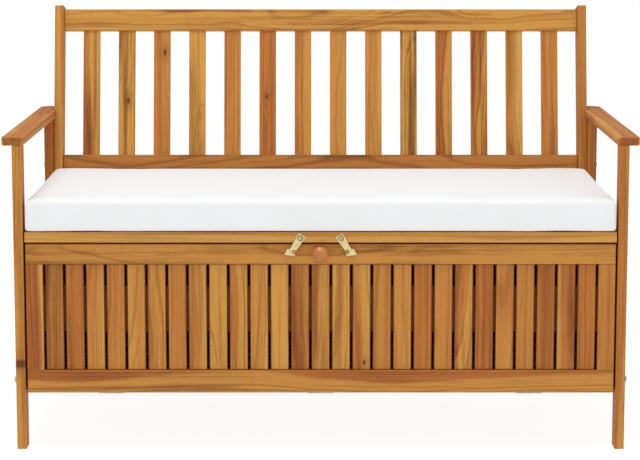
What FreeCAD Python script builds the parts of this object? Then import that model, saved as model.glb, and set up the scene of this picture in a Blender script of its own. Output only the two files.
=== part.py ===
"""A slatted wooden garden bench whose seat closes a storage box with a drop-down front panel.

Every size is millimetres, or degrees where it is an angle, and lives in the Sizes sheet.
X runs along the bench, Y from its front to its back and Z upwards.
Places are worked out from the front plane of the legs and the middle of the bench,
and the whole bench is then shifted so that the origin lies under the middle of its box, on the ground.
"""

import FreeCAD, Part
import os
import re

import Sketcher

SIZES = {
    # Side frames
    "inner_width": 1125,        # between the inner faces of the two side frames
    "leg_thick": 18,
    "leg_depth": 40,
    "leg_height": 584,
    "rear_leg_front": 505,      # front face of the rear legs, behind the front plane
    "side_top_height": 46,
    "side_slat_wide": 38,
    "side_slat_count": 11,
    # Armrests
    "arm_behind": 85,           # beyond the back of the rear legs
    "arm_wide": 42,
    "arm_thick": 16,
    "arm_overhang": 19.5,       # beyond the outer face of the legs
    "arm_corner": 5,            # chamfer across the corners at the front
    "arm_rear_corner": 16,      # chamfer across the outer corner at the back
    "arm_ease": 2.5,
    # Backrest, in its own leaning frame
    "lean": 12,
    "post_thick": 19,
    "post_depth": 40,
    "post_length": 418,
    "post_gap": 0.4,            # between a post and the rear leg beside it
    "post_clear": 2,            # around a post where it passes an armrest
    "post_lift": 0.5,           # between a post's lowest corner and the rail under it
    "post_ahead": 8.2,          # front of the posts at their lower end, ahead of the rear legs
    "back_rail_height": 45,
    "back_rail_thick": 20,
    "back_rail_inset": 8,       # behind the front face of the posts
    "back_top_drop": 7.2,       # top of the top rail, below the top of the posts
    "back_lower_top": 101.4,    # top of the lower rail, above the foot of the posts
    "back_slat_wide": 35,
    "back_slat_thick": 12,
    "back_slat_count": 14,
    "back_end_gap": 41,         # between a post and the slat beside it
    "tenon": 10,
    # Seat
    "seat_low": 400,            # underside of the seat boards
    "seat_thick": 19.5,
    "seat_end_gap": 2.5,
    "seat_front": 1,            # front edge of the first seat board
    "seat_board_wide": 74,
    "seat_back_gap": 20,        # between the last seat board and the rear legs
    "seat_board_count": 6,
    "seat_rail_height": 40,
    "bearer_wide": 20,
    "bearer_height": 28,
    # Storage box
    "rail_thick": 18,
    "box_low": 109.5,           # underside of the box and of its front panel
    "box_rail_height": 40.5,
    "groove": 8,
    "slat_thick": 9,
    "back_board_gap": 0.3,
    "back_board_count": 15,
    "floor_bearer_height": 18,
    "floor_thick": 12,
    "floor_board_wide": 84,
    "floor_board_count": 5,
    "floor_end_gap": 2.5,
    # Front panel
    "panel_front": 4,           # front face, behind the front plane
    "panel_thick": 18,
    "panel_side_gap": 3.5,
    "panel_top_gap": 3.5,
    "panel_top_rail": 38.5,
    "panel_bottom_rail": 44,
    "panel_stile": 32,
    "panel_slat_wide": 34.4,
    "panel_slat_count": 27,
    "panel_slat_recess": 4,
    "panel_slat_front_play": 1, # between the slats and the front of their grooves
    "batten_height": 88,
    "batten_thick": 10,
    "batten_top": 204.5,        # above the underside of the panel
    # Hinges under the panel
    "hinge_gap": 2.5,
    "hinge_drop": 3,            # pin below the underside of the panel
    "hinge_width": 50,
    "hinge_height": 26,
    "hinge_pitch": 400,
    "hinge_count": 3,
    "leaf_thick": 1.1,
    "knuckle_radius": 2.5,
    "knuckle_middle": 16,       # length of the panel leaf's knuckle
    "knuckle_play": 0.3,
    "pin_radius": 1.2,
    "pin_clear": 0.05,
    "hinge_screw_x": 15,
    "hinge_screw_z": 15,
    "hinge_screw_radius": 1.5,
    "hinge_screw_head": 2.8,
    "hinge_screw_length": 11,
    # Hook latches
    "hook_x": 38.5,
    "hook_z": 408.5,
    "hook_hang": 32,            # how far the hooks hang outwards from straight down
    "hook_thick": 1.5,
    "hook_play": 0.2,
    "hook_top": 7.5,            # end of the plate above the pivot
    "hook_half": 7.9,           # half its width at the pivot
    "hook_cut": 1.6,            # cut across its upper corners
    "hook_waist": 5.8,          # half its width above the foot
    "hook_neck": 24,            # pivot to the waist
    "hook_foot": 42,            # pivot to the end of the foot, on the thumb side
    "claw": 8.6,                # reach of the claw under the stud
    "claw_back": 31,            # pivot to the upper corner of the claw
    "claw_foot": 35,            # pivot to the end of the foot, on the claw's side
    "thumb": 9.6,               # reach of the thumb tab on the other side
    "thumb_neck": 31,           # pivot to the upper corner of the thumb tab
    "hook_screw_radius": 1.8,
    "hook_screw_clear": 0.1,
    "hook_head_radius": 4.2,
    "hook_head_height": 2,
    "hook_screw_length": 12,
    "washer_radius": 5,
    "washer_thick": 0.6,
    "stud_along": 28.5,         # from the hook's pivot along the hook
    "stud_aside": 3.5,            # from the hook's middle line towards the knob
    "stud_radius": 1.5,
    "stud_head_radius": 3,
    "stud_head_height": 2,
    "stud_length": 11,
    "stud_clear": 0.6,
    # Knob
    "knob_drop": 17.5,          # knob centre below the top of the panel
    "knob_radius": 15,
    "knob_length": 25,
    "knob_foot_radius": 11,
    "knob_foot_length": 4,
    "knob_neck_radius": 8,
    "knob_screw_radius": 2,
    "knob_screw_depth": 12,
    "knob_screw_head_radius": 4.5,
    "knob_screw_head_height": 1.6,
    # Bolts and dowels
    "bolt_radius": 3,
    "bolt_length": 60,
    "bolt_head_radius": 5.5,
    "bolt_head_height": 3.5,
    "low_bolt_head_height": 6.5, # the bolts near the floor stand further out
    "post_bolt_low": 28,
    "post_bolt_high": 82,
    "dowel_radius": 4,
    "dowel_depth_leg": 20,
    "dowel_depth_arm": 10,
    # Cushion
    "cushion_side_gap": 6.5,
    "cushion_depth": 488,
    "cushion_thick": 64,
    "cushion_front": 2,
    "cushion_ease": 10,
    "soft_gap": 0.3,
    # Edges
    "board_ease": 1.5,
    "slat_ease": 1.2,
    "mortise_play": 0.2,
}

DERIVED = {
    "half_inner": "inner_width / 2",
    "arm_length": "rear_leg_front + leg_depth + arm_behind",
    "middle": "(arm_length + panel_front - knob_length) / 2",
    "rear_gap": "rear_leg_front - leg_depth",
    "rail_front": "panel_front + panel_thick + hinge_gap",
    "rail_back": "rail_front + rail_thick",
    "seat_top": "seat_low + seat_thick",
    "seat_rail_low": "seat_low - seat_rail_height",
    "side_top_low": "seat_low - side_top_height",
    "box_rail_top": "box_low + box_rail_height",
    "floor_low": "box_low + floor_bearer_height",
    "inside_depth": "rear_leg_front - rail_back",
    "bolt_back": "rail_front + rail_thick / 2",
    "bolt_rear": "rear_leg_front + rail_thick / 2",
    "seat_length": "inner_width - 2 * seat_end_gap",
    "seat_depth": "rear_leg_front - seat_back_gap - seat_front",
    "seat_board_gap": "(seat_depth - seat_board_count * seat_board_wide) / (seat_board_count - 1)",
    "cushion_length": "inner_width - 2 * cushion_side_gap",
    "post_inner": "half_inner - post_gap - post_thick",
    "arm_notch": "arm_wide - arm_overhang - leg_thick - post_gap + post_clear",
    "back_line": "rear_leg_front - post_ahead",
    "back_slat_pitch": "(2 * (post_inner - back_end_gap) - back_slat_wide) / (back_slat_count - 1)",
    "back_foot": "seat_low + post_depth * sin(lean * 1 deg) + post_lift",
    "back_slat_low": "back_lower_top - tenon",
    "back_top_low": "post_length - back_top_drop - back_rail_height",
    "back_slat_length": "back_top_low - back_lower_top + 2 * tenon",
    "back_slat_back": "back_rail_inset + (back_rail_thick - back_slat_thick) / 2",
    "panel_width": "inner_width - 2 * panel_side_gap",
    "panel_height": "seat_low - panel_top_gap - box_low",
    "panel_back": "panel_front + panel_thick",
    "panel_opening": "panel_width - 2 * panel_stile",
    "panel_slat_gap": "(panel_opening - panel_slat_count * panel_slat_wide) / (panel_slat_count + 1)",
    "panel_slat_height": "panel_height - panel_top_rail - panel_bottom_rail + 2 * groove",
    "side_slat_height": "side_top_low - box_rail_top + 2 * groove",
    "side_slat_gap": "(rear_gap - side_slat_count * side_slat_wide) / (side_slat_count + 1)",
    "back_board_height": "seat_rail_low - box_rail_top + 2 * groove",
    "back_board_wide": "(inner_width - (back_board_count + 1) * back_board_gap) / back_board_count",
    "floor_room": "inside_depth - 2 * floor_end_gap - floor_board_count * floor_board_wide",
    "floor_board_gap": "floor_room / (floor_board_count - 1)",
    "hinge_y": "panel_back + hinge_gap / 2",
    "hinge_z": "box_low - hinge_drop",
    "leaf_low": "knuckle_radius + knuckle_play",
    "knuckle_side": "(hinge_width - knuckle_middle) / 2 - knuckle_play",
    "hook_back": "seat_front - washer_thick - hook_play",
    "hook_front": "hook_back - hook_thick",
    "stud_x": "stud_along * sin(hook_hang * 1 deg) - stud_aside * cos(hook_hang * 1 deg)",
    "stud_z": "stud_along * cos(hook_hang * 1 deg) + stud_aside * sin(hook_hang * 1 deg)",
    "knob_z": "box_low + panel_height - knob_drop",
}

SIDES = {"left": -1, "right": 1}

doc = FreeCAD.newDocument("storage_bench")
sheet = doc.addObject("Spreadsheet::Sheet", "Sizes")
for row, (alias, size) in enumerate(SIZES.items(), 1):
    sheet.set(f"A{row}", alias)
    sheet.set(f"B{row}", str(size))
    sheet.setAlias(f"B{row}", alias)
doc.recompute()

parts = {}


def cells(text):
    """The words of a formula written out as cells of the sheet."""

    def spelled(match):
        word = match.group(0)
        if word in DERIVED:
            return f"({cells(DERIVED[word])})"
        return f"Sizes.{word}" if word in SIZES else word

    return re.sub(r"[a-z][a-z_]*", spelled, str(text))


def bind(thing, **formulas):
    """Ties properties of a document object to the sheet."""
    for name, formula in formulas.items():
        thing.setExpression(name, cells(formula))


def place(thing, x, y, z, axis=(0, 0, 1), turn=0):
    """Puts an object at a place in the bench's frame, turned by some degrees about an axis."""
    thing.Placement = FreeCAD.Placement(
        FreeCAD.Vector(0, 0, 0), FreeCAD.Rotation(FreeCAD.Vector(*axis), 10)
    )
    thing.setExpression("Placement.Rotation.Angle", cells(f"({turn}) * 1 deg"))
    thing.setExpression("Placement.Base.x", cells(x))
    thing.setExpression("Placement.Base.y", cells(f"({y}) - middle"))
    thing.setExpression("Placement.Base.z", cells(z))
    return thing


def place_leaning(thing, x, out, up):
    """Puts an object in the backrest's leaning frame: out from the posts' front face, up along them."""
    across = f"back_line + ({out}) * cos(lean * 1 deg) + ({up}) * sin(lean * 1 deg)"
    height = f"back_foot - ({out}) * sin(lean * 1 deg) + ({up}) * cos(lean * 1 deg)"
    return place(thing, x, across, height, (1, 0, 0), "-lean")


def keep(thing, name):
    """Names the object that stands for one node of the bench."""
    thing.Label = name
    parts[name] = thing
    return thing


# --- PartDesign pieces -------------------------------------------------------

def sketch_on(body, role, shift=(0, 0, 0)):
    """A sketch on one of the body's own origin planes, shifted in the plane and along its normal."""
    sketch = body.newObject("Sketcher::SketchObject", f"{body.Name}_sketch")
    plane = next(f for f in body.Origin.OriginFeatures if f.Role == role)
    sketch.AttachmentSupport = [(plane, "")]
    sketch.MapMode = "FlatFace"
    for letter, formula in zip("xyz", shift):
        sketch.setExpression(f"AttachmentOffset.Base.{letter}", cells(formula))
    return sketch


def rectangle(sketch, wide, high):
    """A rectangle from the sketch's origin."""
    corners = [FreeCAD.Vector(x, y, 0) for x, y in ((0, 0), (9, 0), (9, 9), (0, 9))]
    for k in range(4):
        sketch.addGeometry(Part.LineSegment(corners[k], corners[(k + 1) % 4]), False)
    for k in range(4):
        sketch.addConstraint(Sketcher.Constraint("Coincident", k, 2, (k + 1) % 4, 1))
        sketch.addConstraint(Sketcher.Constraint(("Horizontal", "Vertical")[k % 2], k))
    sketch.addConstraint(Sketcher.Constraint("Coincident", 0, 1, -1, 1))
    across = sketch.addConstraint(Sketcher.Constraint("DistanceX", 0, 1, 0, 2, 9))
    upward = sketch.addConstraint(Sketcher.Constraint("DistanceY", 1, 1, 1, 2, 9))
    sketch.setExpression(f"Constraints[{across}]", cells(wide))
    sketch.setExpression(f"Constraints[{upward}]", cells(high))
    return sketch


def circle(sketch, radius):
    """A circle about the sketch's origin."""
    sketch.addGeometry(Part.Circle(FreeCAD.Vector(0, 0, 0), FreeCAD.Vector(0, 0, 1), 1), False)
    sketch.addConstraint(Sketcher.Constraint("Coincident", 0, 3, -1, 1))
    size = sketch.addConstraint(Sketcher.Constraint("Radius", 0, 1))
    sketch.setExpression(f"Constraints[{size}]", cells(radius))
    return sketch


def pad(body, sketch, length, both_ways=False, flipped=False):
    """Adds a sketch's shape, along its normal, against it, or half each way."""
    added = body.newObject("PartDesign::Pad", f"{body.Name}_pad")
    added.Profile = sketch
    added.Midplane = both_ways
    added.Reversed = flipped
    bind(added, Length=length)
    return added


def pocket(body, sketch, depth):
    """Cuts a sketch's shape to a depth on both sides of its plane, which lies on a face."""
    cut = body.newObject("PartDesign::Pocket", f"{body.Name}_pocket")
    cut.Profile = sketch
    cut.Midplane = True
    bind(cut, Length=f"2 * ({depth})")
    return cut


def repeat(body, features, role, count, pitch):
    """Repeats features along one of the body's axes."""
    pattern = body.newObject("PartDesign::LinearPattern", f"{body.Name}_pattern")
    if features:
        pattern.Originals = features
    else:
        pattern.TransformMode = "Whole shape"
    axis = next(f for f in body.Origin.OriginFeatures if f.Role == role)
    pattern.Direction = (axis, [""])
    pattern.Mode = "Spacing"
    bind(pattern, Occurrences=count, Offset=pitch)
    body.Tip = pattern
    return pattern


def ease_edges(body, feature, radius):
    """Rounds every edge of a feature."""
    doc.recompute()
    eased = body.newObject("PartDesign::Fillet", f"{body.Name}_fillet")
    eased.Base = (feature, ["Edge1"])
    eased.UseAllEdges = True
    bind(eased, Radius=radius)
    return eased


def board(name, run, section, length, ease="board_ease"):
    """A board along X, Y or Z with eased edges: its section's two sizes, then its length.
    A board along X is centred on the middle of the bench; the others start at their own corner."""
    body = doc.addObject("PartDesign::Body", name)
    role = {"X": "YZ_Plane", "Y": "XZ_Plane", "Z": "XY_Plane"}[run]
    outline = rectangle(sketch_on(body, role), *section)
    solid = pad(body, outline, length, both_ways=run == "X", flipped=run == "Y")
    eased = ease_edges(body, solid, ease)
    body.Tip = eased
    return keep(body, name)


def bore(body, role, at, radius, depth):
    """A round hole: where its centre lies in the plane, how far along the normal, and how deep."""
    return pocket(body, circle(sketch_on(body, role, at), radius), depth)


def groove_along_x(body, low, start, length, wide, depth):
    """A groove along a board that runs along X, cut from the face at the height low."""
    outline = rectangle(sketch_on(body, "XY_Plane", (f"-({length}) / 2", start, low)), length, wide)
    return pocket(body, outline, depth)


# --- Part pieces -------------------------------------------------------------

def cylinder(radius, height, x, y, z, axis=(0, 1, 0), turn=90):
    """A cylinder that starts at a place and runs along Z turned about an axis."""
    solid = doc.addObject("Part::Cylinder", "cylinder")
    bind(solid, Radius=radius, Height=height)
    return place(solid, x, y, z, axis, turn)


def cone(radius, end_radius, height, x, y, z, axis, turn):
    """A cone whose base is at a place, pointing along a turned axis."""
    solid = doc.addObject("Part::Cone", "cone")
    bind(solid, Radius1=radius, Radius2=end_radius, Height=height)
    return place(solid, x, y, z, axis, turn)


def fuse(solids):
    joined = doc.addObject("Part::MultiFuse", "joined")
    joined.Shapes = solids
    return joined


def group(name, solids):
    """Separate solids that share one node."""
    together = doc.addObject("Part::Compound", name)
    together.Links = solids
    return keep(together, name)


TOWARDS_FRONT = ((1, 0, 0), 90)
TOWARDS_BACK = ((1, 0, 0), -90)
UPWARDS = ((0, 0, 1), 0)


def towards(side):
    """The turn that lays a cylinder along X, away from the middle of the bench on that side."""
    return (0, 1, 0), 90 * side


def by_side(side, near, wide):
    """The x of a piece's low corner: near from the middle of the bench and wide across."""
    return near if side > 0 else f"-({near}) - ({wide})"


# --- Side frames -------------------------------------------------------------

def legs():
    for word, side in SIDES.items():
        x = by_side(side, "half_inner", "leg_thick")
        front = place(board(f"front_leg_{word}", "Z", ("leg_thick", "leg_depth"), "leg_height"), x, 0, 0)
        rear = board(f"rear_leg_{word}", "Z", ("leg_thick", "leg_depth"), "leg_height")
        place(rear, x, "rear_leg_front", 0)
        for leg, back in ((front, "bolt_back"), (rear, "bolt_rear - rear_leg_front")):
            for height in ("box_low + box_rail_height / 2", "seat_low - seat_rail_height / 2"):
                bore(leg, "YZ_Plane", (back, height, 0), "bolt_radius", "leg_thick")
            top = ("leg_thick / 2", "leg_depth / 2", "leg_height")
            bore(leg, "XY_Plane", top, "dowel_radius", "dowel_depth_leg")
        for up in ("post_bolt_low", "post_bolt_high"):
            out = "post_depth / 2"
            back = f"back_line + {out} * cos(lean * 1 deg) + {up} * sin(lean * 1 deg) - rear_leg_front"
            height = f"back_foot - {out} * sin(lean * 1 deg) + {up} * cos(lean * 1 deg)"
            bore(rear, "YZ_Plane", (back, height, 0), "bolt_radius", "leg_thick")


def vertical_edges(shape, corners):
    """The names of the upright edges of a shape that stand at the given corners."""
    found = []
    for number, edge in enumerate(shape.Edges, 1):
        first, last = (vertex.Point for vertex in edge.Vertexes)
        upright = abs(first.x - last.x) < 1e-6 and abs(first.y - last.y) < 1e-6
        if upright and any(abs(first.x - x) < 1e-6 and abs(first.y - y) < 1e-6 for x, y in corners):
            found.append(f"Edge{number}")
    return found


def armrests():
    for word, side in SIDES.items():
        name = f"armrest_{word}"
        body = doc.addObject("PartDesign::Body", name)
        section = rectangle(sketch_on(body, "XZ_Plane"), "arm_wide", "arm_thick")
        solid = pad(body, section, "arm_length", flipped=True)
        doc.recompute()
        wide = sheet.arm_wide
        length = max(vertex.Y for vertex in solid.Shape.Vertexes)
        outer = wide if side > 0 else 0
        front = body.newObject("PartDesign::Chamfer", f"{name}_front_corners")
        front.Base = (solid, vertical_edges(solid.Shape, ((0, 0), (wide, 0))))
        bind(front, Size="arm_corner")
        doc.recompute()
        rear = body.newObject("PartDesign::Chamfer", f"{name}_rear_corner")
        rear.Base = (front, vertical_edges(front.Shape, ((outer, length),)))
        bind(rear, Size="arm_rear_corner")
        body.Tip = ease_edges(body, rear, "arm_ease")

        notch_front = "back_line + (leg_height - back_foot) * tan(lean * 1 deg) - post_clear"
        rise = "arm_thick * tan(lean * 1 deg) + post_depth / cos(lean * 1 deg) + 2 * post_clear"
        notch_x = "-arm_notch" if side > 0 else "arm_wide - arm_notch"
        notch = rectangle(sketch_on(body, "XY_Plane", (notch_x, notch_front, 0)), "2 * arm_notch", rise)
        pocket(body, notch, "arm_thick")
        leg_middle = "arm_overhang + leg_thick / 2"
        if side > 0:
            leg_middle = f"arm_wide - ({leg_middle})"
        for back in ("leg_depth / 2", "rear_leg_front + leg_depth / 2"):
            bore(body, "XY_Plane", (leg_middle, back, 0), "dowel_radius", "dowel_depth_arm")
        near = "half_inner + leg_thick + arm_overhang - arm_wide"
        place(keep(body, name), by_side(side, near, "arm_wide"), 0, "leg_height")


def arm_dowels():
    dowels = []
    for side in SIDES.values():
        for back in ("leg_depth / 2", "rear_leg_front + leg_depth / 2"):
            x = f"({side}) * (half_inner + leg_thick / 2)"
            low = "leg_height - dowel_depth_leg"
            length = "dowel_depth_leg + dowel_depth_arm"
            dowels.append(cylinder("dowel_radius", length, x, back, low, *UPWARDS))
    group("arm_dowels", dowels)


def side_panels():
    for word, side in SIDES.items():
        x = by_side(side, "half_inner", "leg_thick")
        groove_x = "(leg_thick - slat_thick) / 2 - mortise_play"
        groove_wide = "slat_thick + 2 * mortise_play"
        top = board(f"side_top_rail_{word}", "Y", ("leg_thick", "side_top_height"), "rear_gap")
        low = board(f"side_bottom_rail_{word}", "Y", ("leg_thick", "box_rail_height"), "rear_gap")
        for rail, level in ((top, 0), (low, "box_rail_height")):
            outline = rectangle(sketch_on(rail, "XY_Plane", (groove_x, 0, level)), groove_wide, "rear_gap")
            pocket(rail, outline, "groove + mortise_play")
        place(top, x, "leg_depth", "side_top_low")
        place(low, x, "leg_depth", "box_low")
        section = ("slat_thick", "side_slat_wide")
        slats = board(f"side_slats_{word}", "Z", section, "side_slat_height", "slat_ease")
        repeat(slats, [], "Y_Axis", "side_slat_count", "side_slat_wide + side_slat_gap")
        slat_x = by_side(side, "half_inner + (leg_thick - slat_thick) / 2", "slat_thick")
        place(slats, slat_x, "leg_depth + side_slat_gap", "box_rail_top - groove")


# --- Backrest ----------------------------------------------------------------

def backrest():
    for word, side in SIDES.items():
        post = board(f"back_post_{word}", "Z", ("post_thick", "post_depth"), "post_length")
        for up in ("post_bolt_low", "post_bolt_high"):
            bore(post, "YZ_Plane", ("post_depth / 2", up, 0), "bolt_radius", "post_thick")
        place_leaning(post, by_side(side, "post_inner", "post_thick"), 0, 0)

    section = ("back_rail_thick", "back_rail_height")
    first = "-(back_slat_count - 1) / 2 * back_slat_pitch - back_slat_wide / 2"
    top = board("back_top_rail", "X", section, "2 * post_inner")
    low = board("back_lower_rail", "X", section, "2 * post_inner")
    for rail, level in ((top, 0), (low, "back_rail_height")):
        mortise_back = "(back_rail_thick - back_slat_thick) / 2 - mortise_play"
        corner = (f"{first} - mortise_play", mortise_back, level)
        outline = rectangle(
            sketch_on(rail, "XY_Plane", corner),
            "back_slat_wide + 2 * mortise_play",
            "back_slat_thick + 2 * mortise_play",
        )
        mortise = pocket(rail, outline, "tenon + mortise_play")
        repeat(rail, [mortise], "X_Axis", "back_slat_count", "back_slat_pitch")
    place_leaning(top, 0, "back_rail_inset", "back_top_low")
    place_leaning(low, 0, "back_rail_inset", "back_lower_top - back_rail_height")

    for number in range(int(sheet.back_slat_count)):
        size = ("back_slat_wide", "back_slat_thick")
        slat = board(f"back_slat_{number + 1:02d}", "Z", size, "back_slat_length", "slat_ease")
        place_leaning(slat, f"{first} + {number} * back_slat_pitch", "back_slat_back", "back_slat_low")


# --- Seat --------------------------------------------------------------------

def seat():
    size = ("seat_board_wide", "seat_thick")
    place(board("seat_front_board", "X", size, "seat_length"), 0, "seat_front", "seat_low")
    boards = board("seat_boards", "X", size, "seat_length")
    repeat(boards, [], "Y_Axis", "seat_board_count - 1", "seat_board_wide + seat_board_gap")
    place(boards, 0, "seat_front + seat_board_wide + seat_board_gap", "seat_low")

    for name, back in (("seat_front_rail", "rail_front"), ("seat_back_rail", "rear_leg_front")):
        rail = board(name, "X", ("rail_thick", "seat_rail_height"), "inner_width")
        bolt_back = "bolt_back - rail_front" if name == "seat_front_rail" else "bolt_rear - rear_leg_front"
        bolt_ends(rail, bolt_back, "seat_rail_height / 2")
        if name == "seat_back_rail":
            back_groove(rail, 0)
        place(rail, 0, back, "seat_rail_low")

    bearers = []
    for x in ("-half_inner", "-bearer_wide / 2", "half_inner - bearer_wide"):
        bearer = doc.addObject("Part::Box", "bearer")
        bind(bearer, Length="bearer_wide", Width="inside_depth", Height="bearer_height")
        bearers.append(place(bearer, x, "rail_back", "seat_low - bearer_height"))
    group("seat_bearers", bearers)


def bolt_ends(rail, back, height):
    """The two holes that a rail's bolts enter, in its ends."""
    for side in SIDES.values():
        at = (back, height, f"({side}) * half_inner")
        bore(rail, "YZ_Plane", at, "bolt_radius", "bolt_length - leg_thick")


# --- Storage box -------------------------------------------------------------

def back_groove(rail, level):
    """The groove in a rear rail that holds the ends of the back boards."""
    start = "(rail_thick - slat_thick) / 2 - mortise_play"
    room = "slat_thick + 2 * mortise_play"
    groove_along_x(rail, level, start, "inner_width", room, "groove + mortise_play")


def storage_box():
    for name, back in (("box_front_rail", "rail_front"), ("box_back_rail", "rear_leg_front")):
        rail = board(name, "X", ("rail_thick", "box_rail_height"), "inner_width")
        bolt_back = "bolt_back - rail_front" if name == "box_front_rail" else "bolt_rear - rear_leg_front"
        bolt_ends(rail, bolt_back, "box_rail_height / 2")
        if name == "box_back_rail":
            back_groove(rail, "box_rail_height")
        else:
            screw_holes(rail, 0)
        place(rail, 0, back, "box_low")

    boards = board("back_boards", "Z", ("back_board_wide", "slat_thick"), "back_board_height", "slat_ease")
    repeat(boards, [], "X_Axis", "back_board_count", "back_board_wide + back_board_gap")
    behind = "rear_leg_front + (rail_thick - slat_thick) / 2"
    place(boards, "back_board_gap - half_inner", behind, "box_rail_top - groove")

    bearers = []
    for x in ("-half_inner", "-bearer_wide / 2", "half_inner - bearer_wide"):
        bearer = doc.addObject("Part::Box", "floor_bearer")
        bind(bearer, Length="bearer_wide", Width="inside_depth", Height="floor_bearer_height")
        bearers.append(place(bearer, x, "rail_back", "box_low"))
    group("floor_bearers", bearers)

    section = ("floor_board_wide", "floor_thick")
    floor = board("floor_boards", "X", section, "inner_width - 2 * floor_end_gap", "slat_ease")
    repeat(floor, [], "Y_Axis", "floor_board_count", "floor_board_wide + floor_board_gap")
    place(floor, 0, "rail_back + floor_end_gap", "floor_low")


# --- Front panel -------------------------------------------------------------

def front_panel():
    slat_start = "panel_slat_recess - panel_slat_front_play"
    slat_room = "slat_thick + panel_slat_front_play + mortise_play"
    bottom = board("panel_bottom_rail", "X", ("panel_thick", "panel_bottom_rail"), "panel_width")
    deep = "groove + mortise_play"
    groove_along_x(bottom, "panel_bottom_rail", slat_start, "panel_opening", slat_room, deep)
    screw_holes(bottom, "panel_thick")
    place(bottom, 0, "panel_front", "box_low")

    top = board("panel_top_rail", "X", ("panel_thick", "panel_top_rail"), "panel_width")
    groove_along_x(top, 0, slat_start, "panel_opening", slat_room, deep)
    knob_up = "panel_top_rail - knob_drop"
    bore(top, "XZ_Plane", (0, knob_up, 0), "knob_screw_radius", "panel_thick")
    for side in SIDES.values():
        stud_up = "panel_top_rail + panel_top_gap + hook_z - seat_low - stud_z"
        at = (f"({side}) * (hook_x + stud_x)", stud_up, 0)
        bore(top, "XZ_Plane", at, "stud_radius", "stud_length")
    place(top, 0, "panel_front", "box_low + panel_height - panel_top_rail")

    for word, side in SIDES.items():
        height = "panel_height - panel_top_rail - panel_bottom_rail"
        stile = board(f"panel_stile_{word}", "Z", ("panel_stile", "panel_thick"), height)
        low = "box_low + panel_bottom_rail"
        place(stile, by_side(side, "panel_opening / 2", "panel_stile"), "panel_front", low)

    slats = board("panel_slats", "Z", ("panel_slat_wide", "slat_thick"), "panel_slat_height", "slat_ease")
    repeat(slats, [], "X_Axis", "panel_slat_count", "panel_slat_wide + panel_slat_gap")
    low = "box_low + panel_bottom_rail - groove"
    place(slats, "panel_slat_gap - panel_opening / 2", "panel_front + panel_slat_recess", low)

    batten = board("panel_batten", "X", ("batten_thick", "batten_height"), "panel_opening", "slat_ease")
    behind = "panel_front + panel_slat_recess + slat_thick"
    place(batten, 0, behind, "box_low + batten_top - batten_height")


def knob():
    foot = cylinder("knob_foot_radius", "knob_foot_length", 0, "panel_front", "knob_z", *TOWARDS_FRONT)
    neck = cylinder("knob_neck_radius", "knob_length / 2", 0, "panel_front", "knob_z", *TOWARDS_FRONT)
    head = doc.addObject("Part::Ellipsoid", "knob_head")
    bind(head, Radius1="(knob_length - knob_foot_length) / 2", Radius2="knob_radius", Radius3="knob_radius")
    place(head, 0, "panel_front - (knob_length + knob_foot_length) / 2", "knob_z", *TOWARDS_FRONT)
    hole = cylinder("knob_screw_radius", "knob_screw_depth", 0, "panel_front", "knob_z", *TOWARDS_FRONT)
    turned = doc.addObject("Part::Cut", "knob")
    turned.Base = fuse([foot, neck, head])
    turned.Tool = hole
    keep(turned, "knob")

    shank_length = "panel_thick + knob_screw_depth"
    shank = cylinder("knob_screw_radius", shank_length, 0, "panel_back", "knob_z", *TOWARDS_FRONT)
    cap_size = ("knob_screw_head_radius", "knob_screw_head_height")
    cap = cylinder(*cap_size, 0, "panel_back", "knob_z", *TOWARDS_BACK)
    keep(fuse([shank, cap]), "knob_screw")


# --- Hinges ------------------------------------------------------------------

def screw_holes(rail, face):
    """The pilot holes of the hinge screws, in the face of a rail at the depth given."""
    for side in SIDES.values():
        x = f"({side}) * hinge_screw_x - (hinge_count - 1) / 2 * hinge_pitch"
        at = (x, "hinge_screw_z - hinge_drop", f"-({face})")
        hole = bore(rail, "XZ_Plane", at, "hinge_screw_radius", "hinge_screw_length")
        repeat(rail, [hole], "X_Axis", "hinge_count", "hinge_pitch")


def hinge_leaf(name, near, knuckles, screw_face, screw_turn):
    """One leaf of each hinge: a plate from near the pin, its knuckles, and two countersunk holes."""
    body = doc.addObject("PartDesign::Body", name)
    for start, length in knuckles:
        roll = circle(sketch_on(body, "YZ_Plane", (0, 0, start)), "knuckle_radius")
        pad(body, roll, length)
        tongue = rectangle(sketch_on(body, "YZ_Plane", (near, 0, start)), "leaf_thick", "leaf_low")
        pad(body, tongue, length)
    corner = (near, "leaf_low", "-hinge_width / 2")
    plate = rectangle(sketch_on(body, "YZ_Plane", corner), "leaf_thick", "hinge_height - leaf_low")
    pad(body, plate, "hinge_width")
    doc.recompute()
    bore(body, "YZ_Plane", (0, 0, 0), "pin_radius + pin_clear", "hinge_width")
    for side in SIDES.values():
        sink = body.newObject("PartDesign::SubtractiveCone", f"{name}_countersink")
        bind(sink, Radius1="hinge_screw_head", Radius2="hinge_screw_radius", Height="leaf_thick")
        sink.Placement = FreeCAD.Placement(
            FreeCAD.Vector(0, 0, 0), FreeCAD.Rotation(FreeCAD.Vector(1, 0, 0), screw_turn)
        )
        sink.setExpression("Placement.Base.x", cells(f"({side}) * hinge_screw_x"))
        sink.setExpression("Placement.Base.y", cells(screw_face))
        sink.setExpression("Placement.Base.z", cells("hinge_screw_z"))
    repeat(body, [], "X_Axis", "hinge_count", "hinge_pitch")
    keep(body, name)
    place(body, "-(hinge_count - 1) / 2 * hinge_pitch", "hinge_y", "hinge_z")


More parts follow.
